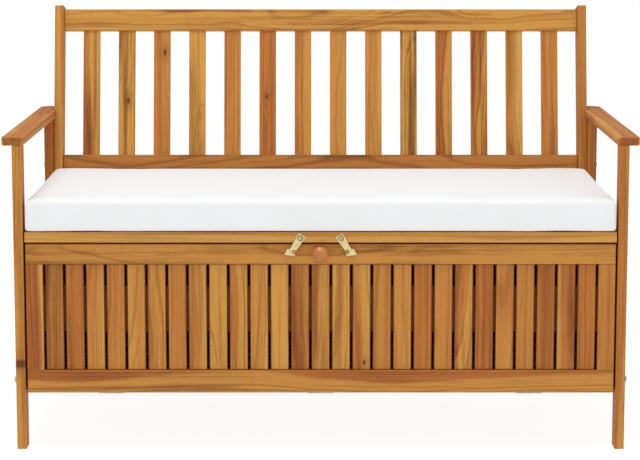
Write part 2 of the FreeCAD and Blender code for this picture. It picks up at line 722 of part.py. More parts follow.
def hinge_screws(name, face, facing, far_way):
    """The screws of one leaf of each hinge, flush with the leaf."""
    screws = []
    for number in range(int(sheet.hinge_count)):
        for side in SIDES.values():
            x = f"({number} - (hinge_count - 1) / 2) * hinge_pitch + ({side}) * hinge_screw_x"
            z = "hinge_z + hinge_screw_z"
            head = cone("hinge_screw_head", "hinge_screw_radius", "leaf_thick", x, face, z, *far_way)
            shank_start = f"({face}) + ({facing}) * leaf_thick"
            shank = cylinder("hinge_screw_radius", "hinge_screw_length", x, shank_start, z, *far_way)
            screws.append(fuse([head, shank]))
    group(name, screws)


def hinges():
    leaf_near = "hinge_gap / 2 - leaf_thick"
    outer = [
        ("-hinge_width / 2", "knuckle_side"),
        ("knuckle_middle / 2 + knuckle_play", "knuckle_side"),
    ]
    middle = [("-knuckle_middle / 2", "knuckle_middle")]
    hinge_leaf("hinge_frame_leaves", leaf_near, outer, leaf_near, -90)
    hinge_leaf("hinge_panel_leaves", "-hinge_gap / 2", middle, f"-({leaf_near})", 90)
    hinge_screws("hinge_frame_screws", f"hinge_y + {leaf_near}", 1, TOWARDS_BACK)
    hinge_screws("hinge_panel_screws", f"hinge_y - ({leaf_near})", -1, TOWARDS_FRONT)
    pins = []
    for number in range(int(sheet.hinge_count)):
        x = f"({number} - (hinge_count - 1) / 2) * hinge_pitch - hinge_width / 2"
        pins.append(cylinder("pin_radius", "hinge_width", x, "hinge_y", "hinge_z"))
    group("hinge_pins", pins)


# --- Hook latches ------------------------------------------------------------

def hook_outline(side, notch):
    """The hook's plate in its own frame: pivot at the origin, length down -Z, claw towards the knob."""
    along = sheet.stud_along
    inner = -side
    half, cut, waist = sheet.hook_half, sheet.hook_cut, sheet.hook_waist
    top, neck, foot = sheet.hook_top, sheet.hook_neck, sheet.hook_foot
    outline = [
        (half - cut, top),
        (half, top - cut),
        (waist, -neck),
        (sheet.claw, -sheet.claw_back),
        (sheet.claw, -sheet.claw_foot),
        (cut - sheet.thumb, -foot),
        (-sheet.thumb, cut - foot),
        (-sheet.thumb, -sheet.thumb_neck),
        (-waist, -neck - 2),
        (-half, top - cut),
        (-half + cut, top),
    ]
    points = [FreeCAD.Vector(inner * x, 0, z) for x, z in outline]
    face = Part.Face(Part.makePolygon(points + points[:1]))
    plate = face.extrude(FreeCAD.Vector(0, sheet.hook_thick, 0))
    eye = Part.makeCylinder(notch, sheet.hook_thick, FreeCAD.Vector(inner * sheet.stud_aside, 0, -along),
                            FreeCAD.Vector(0, 1, 0))
    mouth_left = min(0, inner * sheet.claw) + inner * sheet.stud_aside
    mouth = Part.makeBox(sheet.claw, sheet.hook_thick, 2 * notch, FreeCAD.Vector(mouth_left, 0, -along - notch))
    hole = Part.makeCylinder(sheet.hook_screw_radius + sheet.hook_screw_clear, sheet.hook_thick,
                             FreeCAD.Vector(0, 0, 0), FreeCAD.Vector(0, 1, 0))
    return plate.cut([eye, mouth, hole])


def latches():
    screws, studs = [], []
    for word, side in SIDES.items():
        x = f"({side}) * hook_x"
        hook = doc.addObject("Part::Feature", f"hook_{word}")
        hook.Shape = hook_outline(side, sheet.stud_radius + sheet.stud_clear)
        place(keep(hook, f"hook_{word}"), x, "hook_front", "hook_z", (0, 1, 0), f"({-side}) * hook_hang")

        under_head = "hook_front - hook_play"
        head = cylinder("hook_head_radius", "hook_head_height", x, under_head, "hook_z", *TOWARDS_FRONT)
        shank_length = f"seat_front + hook_screw_length - ({under_head})"
        shank = cylinder("hook_screw_radius", shank_length, x, under_head, "hook_z", *TOWARDS_BACK)
        washer = cylinder("washer_radius", "washer_thick", x, "seat_front", "hook_z", *TOWARDS_FRONT)
        screws.append(fuse([head, shank, washer]))

        stud_x = f"({side}) * (hook_x + stud_x)"
        stud_z = "hook_z - stud_z"
        under_cap = "hook_front - stud_clear"
        post_length = f"panel_front + stud_length - ({under_cap})"
        post = cylinder("stud_radius", post_length, stud_x, under_cap, stud_z, *TOWARDS_BACK)
        cap_size = ("stud_head_radius", "stud_head_height")
        cap = cylinder(*cap_size, stud_x, under_cap, stud_z, *TOWARDS_FRONT)
        studs.append(fuse([post, cap]))
    group("hook_screws", screws)
    group("hook_studs", studs)
    front_board = parts["seat_front_board"]
    for side in SIDES.values():
        at = (f"({side}) * hook_x", "hook_z - seat_low", 0)
        bore(front_board, "XZ_Plane", at, "hook_screw_radius", "hook_screw_length")


# --- Bolts -------------------------------------------------------------------

def bolt(side, face, back, height, length, head_height="bolt_head_height"):
    """A pan-headed bolt driven into a side frame from outside."""
    x = f"({side}) * ({face})"
    head = cylinder("bolt_head_radius", head_height, x, back, height, *towards(side))
    shank = cylinder("bolt_radius", length, x, back, height, *towards(-side))
    return fuse([head, shank])


def bolts():
    outside = "half_inner + leg_thick"
    frame = []
    for side in SIDES.values():
        for back in ("bolt_back", "bolt_rear"):
            low, high = "box_low + box_rail_height / 2", "seat_low - seat_rail_height / 2"
            frame.append(bolt(side, outside, back, low, "bolt_length", "low_bolt_head_height"))
            frame.append(bolt(side, outside, back, high, "bolt_length"))
        for up in ("post_bolt_low", "post_bolt_high"):
            out = "post_depth / 2"
            back = f"back_line + {out} * cos(lean * 1 deg) + {up} * sin(lean * 1 deg)"
            height = f"back_foot - {out} * sin(lean * 1 deg) + {up} * cos(lean * 1 deg)"
            frame.append(bolt(side, outside, back, height, "leg_thick + post_gap + post_thick"))
    group("frame_bolts", frame)


def cushion():
    soft = board("cushion", "X", ("cushion_depth", "cushion_thick"), "cushion_length", "cushion_ease")
    place(soft, 0, "cushion_front", "seat_top + soft_gap")


# --- Build, test and write ---------------------------------------------------

for make in (legs, armrests, arm_dowels, side_panels, backrest, seat, storage_box, front_panel, knob,
             hinges, latches, bolts, cushion):
    make()
doc.recompute()

failed = [thing.Label for thing in doc.Objects if {"Invalid", "Error"} & set(thing.State)]
for name, part in parts.items():
    if part.Shape.isNull() or not part.Shape.isValid() or not part.Shape.Solids:
        failed.append(name)
if failed:
    raise SystemExit(f"these pieces failed to build: {failed}")

os.makedirs("parts", exist_ok=True)
for name, part in sorted(parts.items()):
    part.Shape.exportStep(f"parts/{name}.step")
print(len(parts), "nodes,", sum(len(part.Shape.Solids) for part in parts.values()), "solids")
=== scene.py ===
import math
import random

import bmesh
import bpy
from mathutils import Matrix, Vector


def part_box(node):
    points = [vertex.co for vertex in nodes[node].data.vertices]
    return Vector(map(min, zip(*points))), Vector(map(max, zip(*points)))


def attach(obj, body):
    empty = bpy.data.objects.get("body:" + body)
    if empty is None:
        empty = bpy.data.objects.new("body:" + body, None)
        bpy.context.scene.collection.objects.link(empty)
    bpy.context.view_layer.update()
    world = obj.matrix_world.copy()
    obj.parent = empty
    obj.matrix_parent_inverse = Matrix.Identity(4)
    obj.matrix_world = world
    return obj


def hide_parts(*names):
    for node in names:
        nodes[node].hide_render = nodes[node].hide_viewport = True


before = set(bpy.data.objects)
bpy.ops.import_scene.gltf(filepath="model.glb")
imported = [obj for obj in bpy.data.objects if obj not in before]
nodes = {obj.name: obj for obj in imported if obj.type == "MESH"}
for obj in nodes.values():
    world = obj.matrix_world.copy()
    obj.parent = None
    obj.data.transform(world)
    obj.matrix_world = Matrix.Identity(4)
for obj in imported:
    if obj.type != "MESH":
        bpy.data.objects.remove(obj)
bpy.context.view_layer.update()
scene = bpy.context.scene

LEAN = math.radians(12)  # of the backrest, as in the CAD
BACK_NODES = ("back_post_", "back_top_rail", "back_lower_rail", "back_slat_")


# --- Node helpers -------------------------------------------------------------

def srgb(red, green, blue):
    """A colour given in 0-255 display values, as the linear colour that shaders use."""
    def linear(value):
        value /= 255
        return value / 12.92 if value <= 0.04045 else ((value + 0.055) / 1.055) ** 2.4
    return (linear(red), linear(green), linear(blue), 1)


class Tree:
    """Short ways to add and link the nodes of one node tree."""

    def __init__(self, tree):
        self.tree = tree

    def put(self, value, socket):
        """Links an output to the socket, or sets it when value is a number, vector or colour."""
        if isinstance(value, bpy.types.NodeSocket):
            self.tree.links.new(value, socket)
        else:
            socket.default_value = value

    def add(self, kind, settings=None, **inputs):
        node = self.tree.nodes.new(kind)
        for name, value in (settings or {}).items():
            setattr(node, name, value)
        for name, value in inputs.items():
            self.put(value, node.inputs[name.replace("_", " ")])
        return node

    def math(self, operation, *values, clamp=False):
        node = self.add("ShaderNodeMath", {"operation": operation, "use_clamp": clamp})
        for value, socket in zip(values, node.inputs):
            self.put(value, socket)
        return node.outputs[0]

    def vector(self, operation, *values):
        node = self.add("ShaderNodeVectorMath", {"operation": operation})
        for value, socket in zip(values, node.inputs):
            self.put(value, socket)
        return node.outputs["Value" if operation in ("LENGTH", "DOT_PRODUCT") else "Vector"]

    def total(self, first, *others):
        """The sum of the values."""
        for value in others:
            first = self.math("ADD", first, value)
        return first

    def swing(self, noise, amount):
        """How far a noise departs from its middle value, times amount."""
        return self.math("MULTIPLY", self.math("SUBTRACT", noise, 0.5), amount)

    def noise(self, vector, scale, detail=2.0, rough=0.5):
        node = self.add("ShaderNodeTexNoise", Vector=vector, Scale=scale, Detail=detail, Roughness=rough)
        return node.outputs["Fac"]

    def stretched_noise(self, vector, stretch, detail=2.0, rough=0.5):
        """Noise with its own frequency, per metre, along each axis."""
        return self.noise(self.vector("MULTIPLY", vector, stretch), 1.0, detail, rough)

    def line_noise(self, value, scale, detail=2.0, rough=0.5):
        node = self.add("ShaderNodeTexNoise", {"noise_dimensions": "1D"},
                        W=value, Scale=scale, Detail=detail, Roughness=rough)
        return node.outputs["Fac"]

    def step(self, value, low, high, to_low=0.0, to_high=1.0):
        """value mapped smoothly from low..high to to_low..to_high."""
        node = self.add("ShaderNodeMapRange", {"interpolation_type": "SMOOTHSTEP"})
        for name, number in (("Value", value), ("From Min", low), ("From Max", high),
                             ("To Min", to_low), ("To Max", to_high)):
            self.put(number, node.inputs[name])
        return node.outputs["Result"]

    def mix(self, factor, first, second, blend="MIX"):
        node = self.add("ShaderNodeMix", {"data_type": "RGBA", "blend_type": blend})
        for number, value in ((0, factor), (6, first), (7, second)):
            self.put(value, node.inputs[number])
        return node.outputs[2]


def new_group(name, inputs, outputs):
    """An empty shader node group with the inputs and outputs named, as (group, Tree, input, output)."""
    group = bpy.data.node_groups.new(name, "ShaderNodeTree")
    for label, kind in inputs:
        group.interface.new_socket(label, in_out="INPUT", socket_type="NodeSocket" + kind)
    for label, kind in outputs:
        group.interface.new_socket(label, in_out="OUTPUT", socket_type="NodeSocket" + kind)
    tree = Tree(group)
    return group, tree, group.nodes.new("NodeGroupInput"), group.nodes.new("NodeGroupOutput")


def new_material(name):
    """A material with only a Principled shader, as (material, Tree, shader)."""
    material = bpy.data.materials.new(name)
    material.use_nodes = True
    tree = Tree(material.node_tree)
    shader = material.node_tree.nodes["Principled BSDF"]
    return material, tree, shader


# --- Wood ---------------------------------------------------------------------

# How finely each feature of the wood varies per metre, along the board and across it twice.
WANDER = (1.6, 3.0, 3.0)
DRIFT = (7.0, 22.0, 22.0)
FIBRES = (12.0, 560.0, 560.0)
PORES = (70.0, 1500.0, 1500.0)
CLOUDS = (4.0, 22.0, 22.0)
RIBBONS = (1.4, 110.0, 110.0)
HEART_STREAKS = (1.1, 60.0, 60.0)
RINGS, FINE_RINGS = 260.0, 900.0

# How far, in metres, the rings leave a plain circle, and how ragged the sapwood's edge is.
WANDER_REACH, DRIFT_REACH, KNOT_PUSH, SAP_RAGGED = 0.045, 0.005, 0.010, 0.006
SAP_EDGE = (0.0025, 0.0035)

# How much each feature darkens or lightens the wood.
CLOUD_TONE, RIBBON_TONE, FIBRE_TONE, FINE_RING_TONE = 1.15, 1.9, 0.85, 0.7
DARKEN, LIGHTEN, RING_LINE = 1.15, 0.75, 0.42
HALO_SHADE, KNOT_SHADE, PORE_SHADE = 0.35, 0.85, 0.38
# The groove shade on this line and the groove colour on the next are painted shade, for the gaps round the
# panel's slats.
WORN_PALE, END_GRAIN_DARK, PAINTED_GAP_SHADE = 0.35, 0.6, 0.85
STREAK_TINT, KNOT_COLOUR, PAINTED_GAP_COLOUR = srgb(215, 185, 170), srgb(86, 42, 20), srgb(62, 18, 6)

SMALLEST_KNOT = 0.0001


def make_grain_group():
    """Solid wood in board space: X runs along the board, and the log's heart is the X axis."""
    inputs = [("Vector", "Vector"), ("Middle", "Vector"), ("Half", "Vector"),
              ("Heart", "Color"), ("Sap", "Color"), ("Line", "Color"),
              ("Heart Radius", "Float"), ("Figure", "Float"), ("Streaks", "Float"),
              ("Knot", "Vector"), ("Knot Size", "Float"), ("End Reach", "Float")]
    outputs = [("Color", "Color"), ("Roughness", "Float"), ("Height", "Float")]
    group, t, given, result = new_group("Board grain", inputs, outputs)
    at = given.outputs
    point = at["Vector"]

    # Where a knot sits, the grain flows round it.
    from_knot = t.vector("MULTIPLY", t.vector("SUBTRACT", point, at["Knot"]), (0.5, 1.0, 0.0))
    knot_distance = t.vector("LENGTH", from_knot)
    size = t.math("MAXIMUM", at["Knot Size"], SMALLEST_KNOT)
    area = t.math("MULTIPLY", size, size)
    distance_squared = t.math("MULTIPLY", knot_distance, knot_distance)
    knot_reach = t.math("DIVIDE", area, t.math("ADD", area, distance_squared))

    # Growth rings: distance from the heart, wandering slowly along the board.
    across = t.vector("LENGTH", t.vector("MULTIPLY", point, (0.0, 1.0, 1.0)))
    radius = t.total(across,
                     t.swing(t.stretched_noise(point, WANDER, 1.0), WANDER_REACH),
                     t.swing(t.stretched_noise(point, DRIFT), DRIFT_REACH),
                     t.math("MULTIPLY", knot_reach, KNOT_PUSH))
    rings = t.line_noise(radius, RINGS, 3.0, 0.6)
    fine_rings = t.line_noise(radius, FINE_RINGS)
    ring_lines = t.step(rings, 0.50, 0.74)

    # Fibres and open pores, drawn out along the board.
    fibres = t.stretched_noise(point, FIBRES, 3.0, 0.6)
    pores = t.step(t.stretched_noise(point, PORES, 1.0), 0.62, 0.74)
    clouds = t.stretched_noise(point, CLOUDS, 3.0, 0.55)
    ribbons = t.stretched_noise(point, RIBBONS)

    # Heartwood inside, paler sapwood outside, with a soft edge between them.
    edge = t.math("ADD", radius, t.swing(ribbons, SAP_RAGGED))
    sap = t.step(edge,
                 t.math("SUBTRACT", at["Heart Radius"], SAP_EDGE[0]),
                 t.math("ADD", at["Heart Radius"], SAP_EDGE[1]))
    colour = t.mix(sap, at["Heart"], at["Sap"])

    # Light and dark along the grain.
    tone = t.total(t.swing(clouds, CLOUD_TONE), t.swing(ribbons, RIBBON_TONE),
                   t.swing(fibres, FIBRE_TONE), t.swing(fine_rings, FINE_RING_TONE))
    tone = t.math("MULTIPLY", tone, at["Figure"])
    darker = t.math("MAXIMUM", tone, 0.0)
    lighter = t.math("MULTIPLY", t.math("MINIMUM", tone, 0.0), -1.0)
    lines = t.math("MULTIPLY", ring_lines, t.math("MULTIPLY", at["Figure"], RING_LINE), clamp=True)
    colour = t.mix(t.math("MULTIPLY", darker, DARKEN, clamp=True), colour, at["Line"])
    colour = t.mix(t.math("MULTIPLY", lighter, LIGHTEN, clamp=True), colour, at["Sap"])
    colour = t.mix(lines, colour, at["Line"])

    # Dark heart streaks, knots and pores.
    heart = t.step(t.stretched_noise(point, HEART_STREAKS), 0.54, 0.66)
    heart = t.math("MULTIPLY", heart, t.step(fibres, 0.3, 0.6, 0.65, 1.0))
    dark = t.mix(1.0, at["Line"], STREAK_TINT, "MULTIPLY")
    colour = t.mix(t.math("MULTIPLY", heart, at["Streaks"], clamp=True), colour, dark)
    knot = t.step(knot_distance, size, t.math("MULTIPLY", size, 0.3))
    halo = t.step(knot_distance, t.math("MULTIPLY", size, 3.2), size)
    colour = t.mix(t.math("MULTIPLY", halo, HALO_SHADE), colour, at["Line"])
    colour = t.mix(t.math("MULTIPLY", knot, KNOT_SHADE), colour, KNOT_COLOUR)
    colour = t.mix(t.math("MULTIPLY", pores, PORE_SHADE), colour, at["Line"])

    # Rubbed, paler arrises: near two faces of the board at once.
    from_middle = t.vector("ABSOLUTE", t.vector("SUBTRACT", point, at["Middle"]))
    depth = t.add("ShaderNodeSeparateXYZ", Vector=t.vector("SUBTRACT", at["Half"], from_middle))
    near = [t.step(depth.outputs[i], 0.0026, 0.0006) for i in range(3)]
    pairs = [t.math("MULTIPLY", near[i], near[j]) for i, j in ((0, 1), (0, 2), (1, 2))]
    worn = t.math("MAXIMUM", pairs[0], t.math("MAXIMUM", pairs[1], pairs[2]))
    patchy = t.step(t.noise(point, 55.0, 3.0), 0.35, 0.65, 0.25, 1.0)
    worn = t.math("MULTIPLY", worn, patchy)
    colour = t.mix(t.math("MULTIPLY", worn, WORN_PALE), colour, at["Sap"])

    # End grain soaks up more oil.
    colour = t.mix(t.step(depth.outputs[0], 0.0010, 0.0003, 0.0, END_GRAIN_DARK), colour, at["Line"])

    # Painted shade where a board enters its groove, and down its sides, darkening the gaps round the panel's
    # slats.
    to_groove = t.step(t.math("SUBTRACT", depth.outputs[0], at["End Reach"]), 0.0022, 0.0004)
    to_side = t.step(depth.outputs[1], 0.0018, 0.0006)
    grooved = t.math("GREATER_THAN", at["End Reach"], 0.0)
    inside = t.math("MULTIPLY", t.math("MAXIMUM", to_groove, to_side), grooved)
    colour = t.mix(t.math("MULTIPLY", inside, PAINTED_GAP_SHADE), colour, PAINTED_GAP_COLOUR)

    rough = t.total(0.54, t.math("MULTIPLY", fibres, 0.16), t.math("MULTIPLY", clouds, 0.08),
                    t.math("MULTIPLY", pores, 0.12))
    height = t.total(t.math("MULTIPLY", fibres, 0.5), t.math("MULTIPLY", ring_lines, -0.25),
                     t.math("MULTIPLY", pores, -0.6), t.math("MULTIPLY", knot, -0.4))
    for value, name in ((colour, "Color"), (rough, "Roughness"), (height, "Height")):
        t.put(value, result.inputs[name])
    return group


grain = make_grain_group()

# Heartwood, sapwood and line colours of the kinds of board seen on the bench.
TONES = {
    "P": (srgb(197, 133, 60), srgb(214, 159, 79), srgb(148, 86, 38)),
    "G": (srgb(190, 123, 55), srgb(207, 149, 69), srgb(138, 76, 32)),
    "O": (srgb(183, 112, 49), srgb(201, 139, 63), srgb(128, 66, 28)),
    "B": (srgb(171, 98, 43), srgb(190, 124, 56), srgb(108, 52, 22)),
    "R": (srgb(154, 83, 38), srgb(175, 107, 47), srgb(92, 42, 21)),
}


def board_turn(run, face):
    """The rotation that takes a board's run to X and the normal of its wide face to Z."""
    return Matrix((run, face.cross(run), face))


def corners_of(points):
    """The lowest and highest corner of the box round the points."""
    low = Vector([min(p[i] for p in points) for i in range(3)])
    high = Vector([max(p[i] for p in points) for i in range(3)])
    return low, high


SAP_PLACES = (-1.6, -1.4, -0.5, 0.7, 1.4, 1.8, 2.2)  # mostly outside the board, which is then all of one kind


def wood_material(name, turn, points, tone, dice,
                  streaks=0.0, knot=None, figure=1.0, sap=None, side=1, end=0.0):
    """The material of one board, whose corners are points.

    A tone of two letters has the heartwood of the first and the sapwood of the second. knot is (share along,
    share across, size in metres). sap is where the sapwood starts, as a share of the half width from the
    middle line towards side. end is how far the board sits in its grooves."""
    low, high = corners_of([turn @ p for p in points])
    half = (high - low) / 2
    along_log, off_heart = dice.uniform(-9, 9), dice.uniform(0.01, 0.05)
    middle = Vector((along_log, off_heart, dice.choice((-1, 1)) * dice.uniform(0.05, 0.12)))
    if sap is None:
        sap = dice.choice(SAP_PLACES)
    heart_radius = Vector((0, middle.y + sap * half.y, middle.z)).length
    middle.y *= side
    material, t, shader = new_material(name)
    where = t.add("ShaderNodeTexCoord").outputs["Object"]
    placed = t.add("ShaderNodeMapping", {"vector_type": "POINT"}, Vector=where,
                   Location=middle - (low + high) / 2, Rotation=turn.to_euler("XYZ"))
    shade = dice.uniform(0.96, 1.04)
    tints = (TONES[tone[0]][0], TONES[tone[-1]][1], TONES[tone[0]][2])
    heart, pale, line = [tuple(c * shade for c in tint[:3]) + (1,) for tint in tints]
    board = t.add("ShaderNodeGroup", {"node_tree": grain}, Vector=placed.outputs[0], Middle=middle, Half=half,
                  Heart=heart, Sap=pale, Line=line, Heart_Radius=heart_radius, Figure=figure, Streaks=streaks,
                  End_Reach=end)
    if knot:
        along, across, size = knot
        board.inputs["Knot"].default_value = middle + Vector((half.x * along, half.y * across, 0))
        board.inputs["Knot Size"].default_value = size
    bump = t.add("ShaderNodeBump", Strength=0.35, Distance=0.0006, Height=board.outputs["Height"])
    t.put(board.outputs["Color"], shader.inputs["Base Color"])
    t.put(board.outputs["Roughness"], shader.inputs["Roughness"])
    t.put(bump.outputs[0], shader.inputs["Normal"])
    shader.inputs["IOR"].default_value = 1.45
    shader.inputs["Specular IOR Level"].default_value = 0.24
    shader.inputs["Coat Weight"].default_value = 0.02
    shader.inputs["Coat Roughness"].default_value = 0.3
    return material


def islands(mesh):
    """The polygons of each separate board of a node, as lists of polygon indices."""
    parent = {}

    def root(key):
        while parent[key] != key:
            parent[key] = parent[parent[key]]
            key = parent[key]
        return key

    keys = [tuple(round(c, 5) for c in v.co) for v in mesh.vertices]
    for key in keys:
        parent.setdefault(key, key)
    for polygon in mesh.polygons:
        first = root(keys[polygon.vertices[0]])
        for corner in polygon.vertices[1:]:
            parent[root(keys[corner])] = first
    groups = {}
    for polygon in mesh.polygons:
        groups.setdefault(root(keys[polygon.vertices[0]]), []).append(polygon.index)
    return list(groups.values())


def centre_of(points):
    return sum(points, Vector()) / len(points)


def paint_boards(name, tones, order="x", specials=None, **common):
    """Gives every board of a CAD node its own wood.

    tones has a word for each board, in order along an axis, and starts again where there are more boards.
    common goes to wood_material for every board, and specials[index] for one."""
    mesh = nodes[name].data
    specials = specials or {}
    tones = tones.split()
    dice = random.Random(name)
    leaning = name.startswith(BACK_NODES)
    lean = Matrix.Rotation(LEAN, 3, "X") if leaning else Matrix.Identity(3)
    groups = []
    for polygons in islands(mesh):
        corners = {v for i in polygons for v in mesh.polygons[i].vertices}
        points = [mesh.vertices[v].co.copy() for v in corners]
        groups.append((polygons, points))
    axis = "xyz".index(order)
    groups.sort(key=lambda group: centre_of(group[1])[axis])
    mesh.materials.clear()
    for index, (polygons, points) in enumerate(groups):
        low, high = corners_of([lean @ p for p in points])
        sizes = [high[i] - low[i] for i in range(3)]
        axes = [lean.row[i].copy() for i in range(3)]
        turn = board_turn(axes[sizes.index(max(sizes))], axes[sizes.index(min(sizes))])
        tone = tones[index % len(tones)]
        extra = {**common, **specials.get(index, {})}
        material = wood_material(f"{name}_{index + 1:02d}", turn, points, tone, dice, **extra)
        mesh.materials.append(material)
        for i in polygons:
            mesh.polygons[i].material_index = index


def paint_wood():
    """Wood for every board, with the kinds and marks that the real boards show where the bench is seen, and
    painted shade on the back's lower rail and in the panel's gaps.
    """
    # Where a leg's narrow front face shows, a knot on it is at a share of 1 across the board.
    paint_boards("front_leg_left", "O", sap=0.2, knot=(-0.43, 1.0, 0.006))
    paint_boards("front_leg_right", "OG", sap=0.9)
    paint_boards("rear_leg_left", "B")
    paint_boards("rear_leg_right", "B")
    paint_boards("armrest_left", "OG")
    paint_boards("armrest_right", "OG")
    paint_boards("back_post_left", "OG", streaks=0.2)
    paint_boards("back_post_right", "B")
    paint_boards("back_top_rail", "G", figure=1.3, streaks=0.15)
    # The dark kinds of this rail also paint the shade that the cushion casts on it.
    paint_boards("back_lower_rail", "RB")
    back_slats = (
        ("BG", {"sap": -0.2, "streaks": 0.6}),
        ("BG", {"sap": -0.1, "knot": (-0.12, 0.2, 0.005), "streaks": 0.5}),
        ("GP", {"knot": (0.6, 0.35, 0.005)}),
        ("RG", {"sap": 0.1, "side": -1, "streaks": 0.3}),
        ("GP", {"sap": 0.3}),
        ("OB", {"knot": (-0.06, -0.1, 0.004)}),
        ("O", {"sap": 0.1}),
        ("O", {"sap": 0.3}),
        ("P", {}),
        ("RG", {"sap": 0.1, "side": -1, "streaks": 0.8}),
        ("BO", {"streaks": 0.4, "figure": 1.3}),
        ("BO", {"streaks": 0.7, "figure": 1.4}),
        ("GP", {"streaks": 0.2}),
        ("G", {"figure": 1.2}),
    )
    for index, (tone, extra) in enumerate(back_slats):
        paint_boards(f"back_slat_{index + 1:02d}", tone, **extra)

    slats = "RB O G G P O G G G OG P G B OG G OG G O O G OG BO G G OB BG O"
    specials = {
        0: {"streaks": 0.4},
        1: {"streaks": 0.6},
        9: {"streaks": 0.4},
        13: {"figure": 1.3},
        15: {"knot": (-0.8, 0.3, 0.004)},
        19: {"streaks": 0.4},
        20: {"streaks": 0.3},
        21: {"figure": 1.3},
        24: {"streaks": 0.4},
        25: {"sap": 0.2, "side": -1},
    }
    top_rail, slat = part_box("panel_top_rail"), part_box("panel_slats")
    # end makes the grain paint shade where the slats enter their grooves and down their sides.
    paint_boards("panel_slats", slats, specials=specials, end=slat[1].z - top_rail[0].z)
    paint_boards("panel_top_rail", "BO", sap=0.6)
    paint_boards("panel_bottom_rail", "BO", sap=0.2)
    paint_boards("panel_stile_left", "BP", sap=0.0)
    paint_boards("panel_stile_right", "GP", sap=0.2)
    paint_boards("panel_batten", "R")
    paint_boards("seat_front_board", "P", sap=-0.6, knot=(-0.72, 0.3, 0.004))
    paint_boards("seat_boards", "G O B G O", order="y")
    for name in ("seat_front_rail", "seat_back_rail", "box_front_rail", "box_back_rail"):
        paint_boards(name, "B")
    paint_boards("seat_bearers", "B O B")
    paint_boards("floor_bearers", "O B O")
    paint_boards("floor_boards", "O G B O R G O B", order="y")
    paint_boards("back_boards", "O B G O R B O G B")
    for side in ("left", "right"):
        paint_boards(f"side_top_rail_{side}", "O")
        paint_boards(f"side_bottom_rail_{side}", "B")
        paint_boards(f"side_slats_{side}", "O G B O R G O B G O", order="y")
    paint_boards("arm_dowels", "P")


# --- Metal --------------------------------------------------------------------

def metal_material(name, colour, dull, rough, spots):
    """Satin metal with faint blotches, spots of them per metre, fine rubbing marks and a low bump."""
    material, t, shader = new_material(name)
    where = t.add("ShaderNodeTexCoord").outputs["Object"]
    blotch = t.noise(where, spots, 4.0, 0.6)
    marks = t.stretched_noise(where, (300.0, 300.0, 2600.0))
    tint = t.mix(t.step(blotch, 0.38, 0.68), colour, dull)
    t.put(tint, shader.inputs["Base Color"])
    roughness = t.total(rough, t.math("MULTIPLY", blotch, 0.18), t.math("MULTIPLY", marks, 0.08))
    t.put(roughness, shader.inputs["Roughness"])
    height = t.math("ADD", t.math("MULTIPLY", blotch, 0.6), t.math("MULTIPLY", marks, 0.4))
    bump = t.add("ShaderNodeBump", Strength=0.25, Distance=0.0003, Height=height)
    t.put(bump.outputs[0], shader.inputs["Normal"])
    shader.inputs["Metallic"].default_value = 1.0
    return material, t, shader, where, tint


def ring_about(t, where, name, width):
    """A dark ring round the heads of a CAD node's screws, a mirrored pair seen from the front: painted shade
    where the heads meet the plate, with some dirt.
    """
    low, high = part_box(name)
    radius = (high.z - low.z) / 2
    apart = t.add("ShaderNodeSeparateXYZ", Vector=where)
    sideways = t.math("SUBTRACT", t.math("ABSOLUTE", apart.outputs[0]), high.x - radius)
    upwards = t.math("SUBTRACT", apart.outputs[2], high.z - radius)
    distance = t.math("SQRT", t.math("ADD", t.math("MULTIPLY", sideways, sideways),
                                     t.math("MULTIPLY", upwards, upwards)))
    return t.step(t.math("ABSOLUTE", t.math("SUBTRACT", distance, radius)), width, width / 3)


def brass_material(name, colour, dull, width):
    """Brass with a dark ring, width wide, round the hooks' screws and studs: painted shade where the heads
    meet the plate, with some dirt.
    """
    material, t, shader, where, tint = metal_material(name, colour, dull, 0.24, 160.0)
    rings = [ring_about(t, where, heads, width) for heads in ("hook_screws", "hook_studs")]
    # Painted shade, with some dirt, round each screw and stud head.
    grime_and_painted_shade = t.math("MULTIPLY", t.math("MAXIMUM", *rings), 0.8)
    t.put(t.mix(grime_and_painted_shade, tint, srgb(84, 70, 30)), shader.inputs["Base Color"])
    return material


def paint_metal():
    plate = brass_material("Pale brass", srgb(236, 220, 168), srgb(208, 184, 122), 0.0011)
    heads = brass_material("Screw brass", srgb(206, 190, 132), srgb(168, 146, 88), 0.0012)
    zinc = metal_material("Zinc plate", srgb(196, 197, 196), srgb(150, 152, 155), 0.30, 220.0)[0]
    plated = ("frame_bolts", "hinge_frame_leaves", "hinge_frame_screws", "hinge_panel_leaves",
              "hinge_panel_screws", "hinge_pins", "knob_screw")
    for material, names in ((plate, ("hook_left", "hook_right")),
                            (heads, ("hook_screws", "hook_studs")),
                            (zinc, plated)):
        for name in names:
            nodes[name].data.materials.clear()
            nodes[name].data.materials.append(material)


# --- Turned knob --------------------------------------------------------------

def knob_material():
    """Varnished reddish wood: turned across the grain, so rings and streaks show on the face."""
    material, t, shader = new_material("Varnished knob")
    where = t.add("ShaderNodeTexCoord").outputs["Object"]
    streaks = t.stretched_noise(where, (90.0, 900.0, 700.0), 3.0, 0.6)
    clouds = t.noise(where, 110.0, 2.0)
    tone = t.math("ADD", t.math("MULTIPLY", streaks, 0.7), t.math("MULTIPLY", clouds, 0.3))
    colour = t.mix(t.step(tone, 0.3, 0.7), srgb(212, 130, 48), srgb(160, 86, 28))
    t.put(colour, shader.inputs["Base Color"])
    t.put(t.math("ADD", 0.3, t.math("MULTIPLY", streaks, 0.15)), shader.inputs["Roughness"])
    bump = t.add("ShaderNodeBump", Strength=0.12, Distance=0.0003, Height=streaks)
    t.put(bump.outputs[0], shader.inputs["Normal"])
    shader.inputs["Coat Weight"].default_value = 0.7
    shader.inputs["Coat Roughness"].default_value = 0.04
    return material


